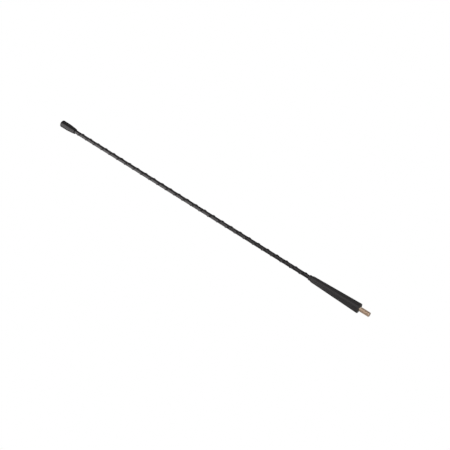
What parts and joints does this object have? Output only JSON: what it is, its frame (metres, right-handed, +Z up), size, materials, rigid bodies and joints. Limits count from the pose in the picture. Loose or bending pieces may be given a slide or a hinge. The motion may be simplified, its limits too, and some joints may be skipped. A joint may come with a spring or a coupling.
{
  "type": "car mast aerial",
  "caption": "Screw-in car mast aerial: black tapered base with a threaded stud, thin mast with a wound ridge, and a tip cap.",
  "frame": {"origin": "centre of the seat face, where the threaded stud leaves the base ferrule", "axes": "+Z up the mast from the stud to the tip cap; X and Y are free about the mast, and -Y is the side that the picture shows"},
  "size_m": [0.0104, 0.0104, 0.4115],
  "materials": {
    "stud_metal": "satin, bronze-toned",
    "black_moulding": "smooth satin",
    "glass_fibre": "drawn rod",
    "copper_wire": "bright drawn",
    "black_sheath": "shrunk tube, satin",
    "black_cap": "smooth satin"
  },
  "bodies": {
    "root": {"coupling": "stud_metal", "ferrule": "black_moulding", "core": "glass_fibre", "wire": "copper_wire", "sheath": "black_sheath", "tip_cap": "black_cap"}
  },
  "joints": []
}
